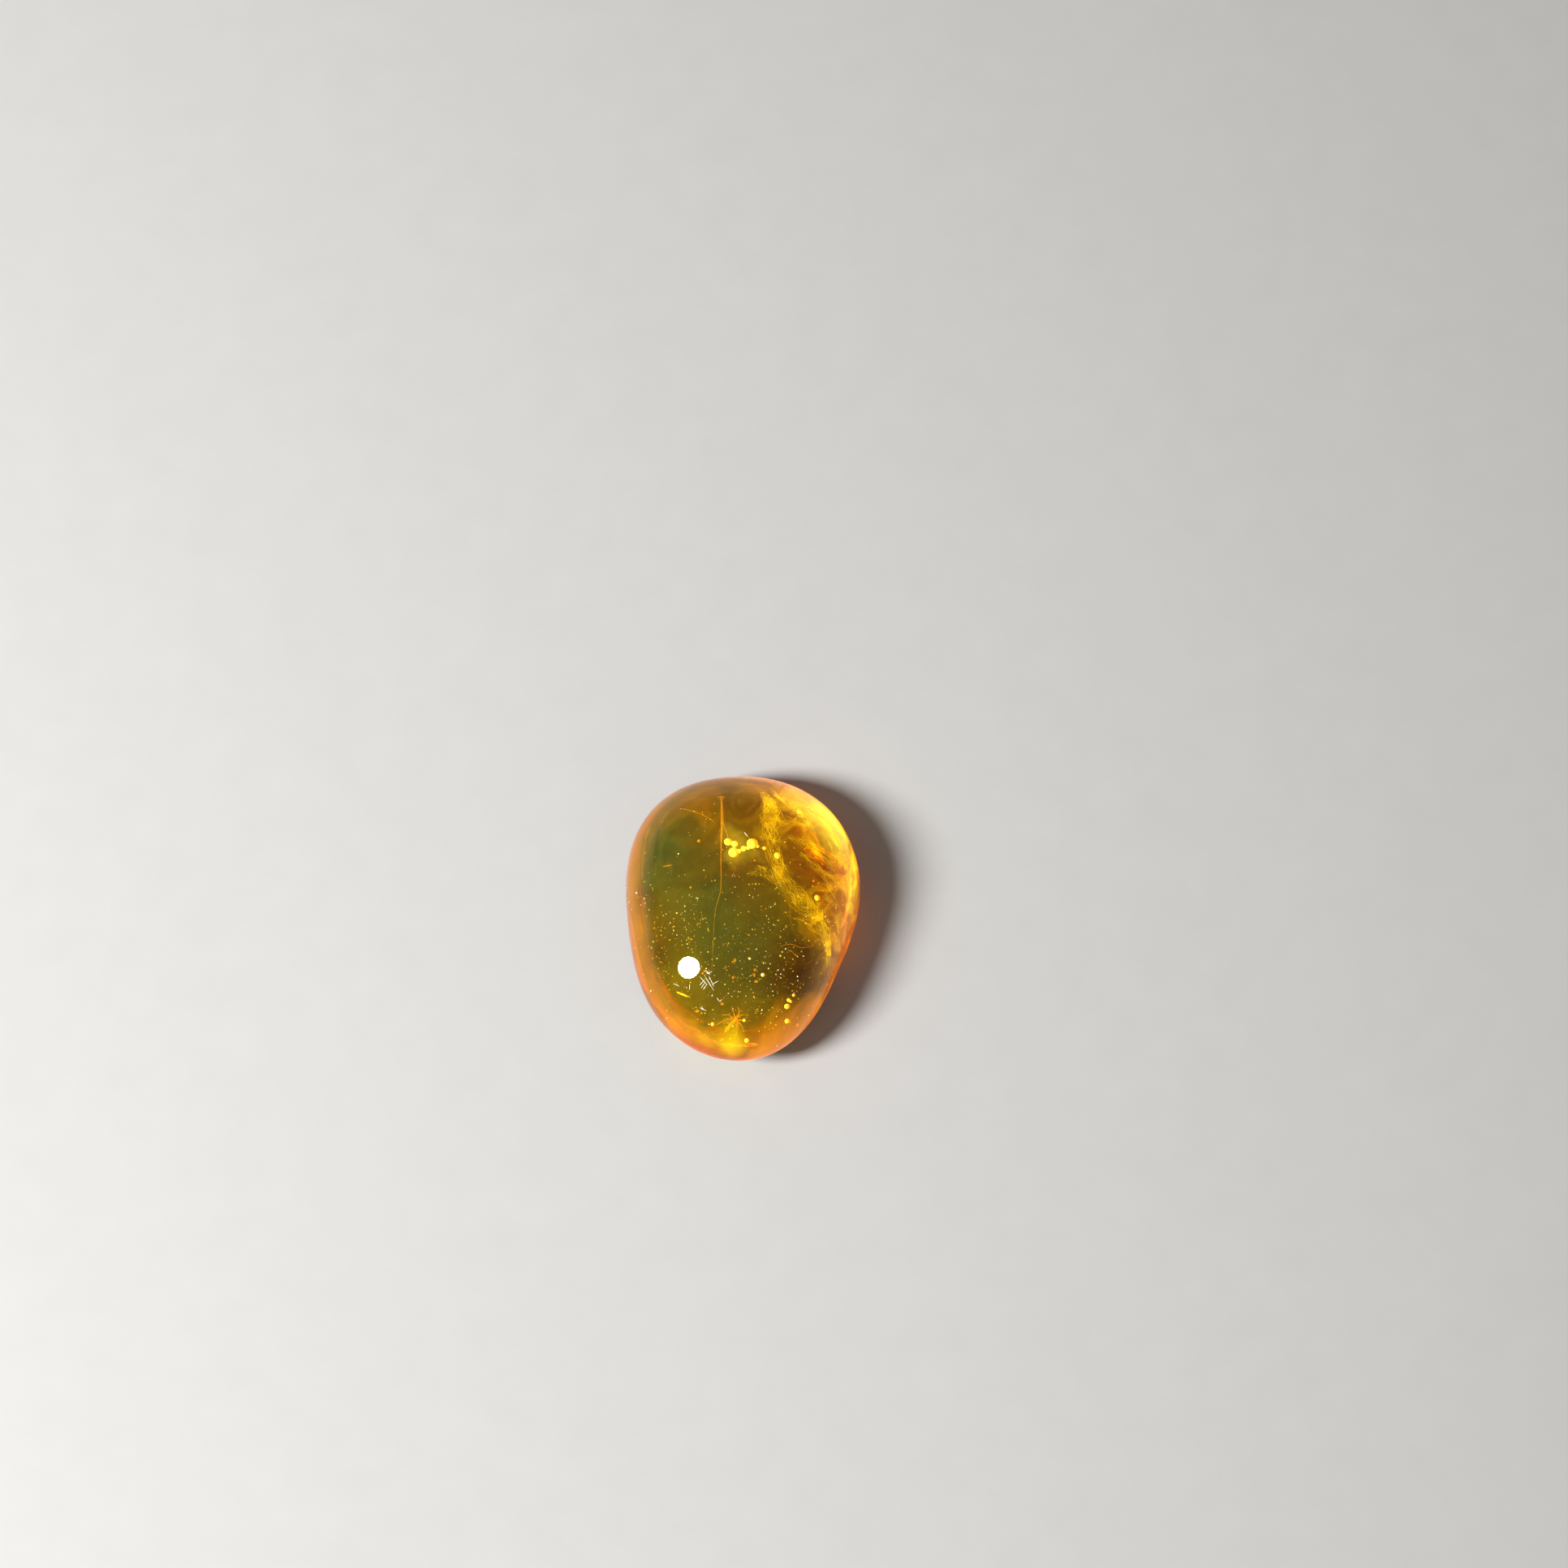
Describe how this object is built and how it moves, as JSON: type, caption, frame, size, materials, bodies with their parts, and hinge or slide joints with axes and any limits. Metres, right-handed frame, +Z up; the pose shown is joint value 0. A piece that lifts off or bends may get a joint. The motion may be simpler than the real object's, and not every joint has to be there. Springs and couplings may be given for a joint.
{
  "type": "insect in amber",
  "caption": "Polished clear amber pebble, egg-shaped and gently domed, with a tiny midge, plant hair, fibre tuft, seed and slivers sealed inside.",
  "frame": {"origin": "on the surface that the pebble rests on, under the middle of its outline", "axes": "+Z up, +Y towards the wide end, +X to the right when looking from the narrow end to the wide end"},
  "size_m": [0.0206, 0.026, 0.0111],
  "materials": {
    "amber": "polished clear resin",
    "chitin": "dark red-brown chitin",
    "plant": "golden plant fibre",
    "seed_coat": "dark brown seed coat"
  },
  "bodies": {
    "root": {"amber_top": "amber", "amber_base": "amber", "insect": "chitin", "plant_hair": "plant", "fibre_tuft": "plant", "seed": "seed_coat", "sliver_left": "plant", "sliver_front": "plant"}
  },
  "joints": []
}
